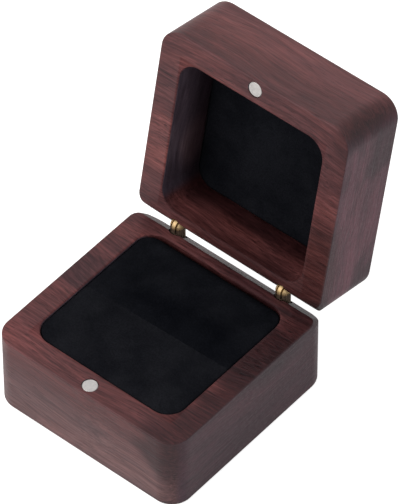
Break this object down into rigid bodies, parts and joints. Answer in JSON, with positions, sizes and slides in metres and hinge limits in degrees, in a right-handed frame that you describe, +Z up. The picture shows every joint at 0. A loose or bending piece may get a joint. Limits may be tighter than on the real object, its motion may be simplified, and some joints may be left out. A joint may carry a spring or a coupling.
{
  "type": "hinged ring box",
  "caption": "Small square wooden ring box with a deep lid on brass barrel hinges, magnet catch, slit velvet ring cushion and velvet-lined lid, standing open.",
  "frame": {"origin": "centre of the base's underside, on the surface it stands on", "axes": "+X along the hinge line, +Y from the front with the magnet catch to the hinge side, +Z up; the lid stands open"},
  "size_m": [0.06, 0.0878, 0.082],
  "materials": {
    "walnut": "satin",
    "velvet": "matte",
    "foam": "matte",
    "card": "matte",
    "brass": "polished",
    "magnet_plating": "satin"
  },
  "bodies": {
    "base": {"base_block": "walnut", "base_magnet": "magnet_plating", "cushion_card": "card", "front_pad_foam": "foam", "front_pad_velvet": "velvet", "rear_pad_foam": "foam", "rear_pad_velvet": "velvet", "left_lower_barrel": "brass", "left_lower_pin": "brass", "right_lower_barrel": "brass", "right_lower_pin": "brass"},
    "lid": {"lid_block": "walnut", "lid_magnet": "magnet_plating", "lid_liner_card": "card", "lid_liner_velvet": "velvet", "left_upper_barrel": "brass", "left_upper_pin": "brass", "left_outer_link": "brass", "left_inner_link": "brass", "right_upper_barrel": "brass", "right_upper_pin": "brass", "right_outer_link": "brass", "right_inner_link": "brass"}
  },
  "joints": [
    {"name": "lid_hinge", "type": "hinge", "parent": "base", "child": "lid", "pos_m": [0, 0.0274, 0.0255], "axis": [1, 0, 0], "range_deg": [0, 101.5]}
  ]
}
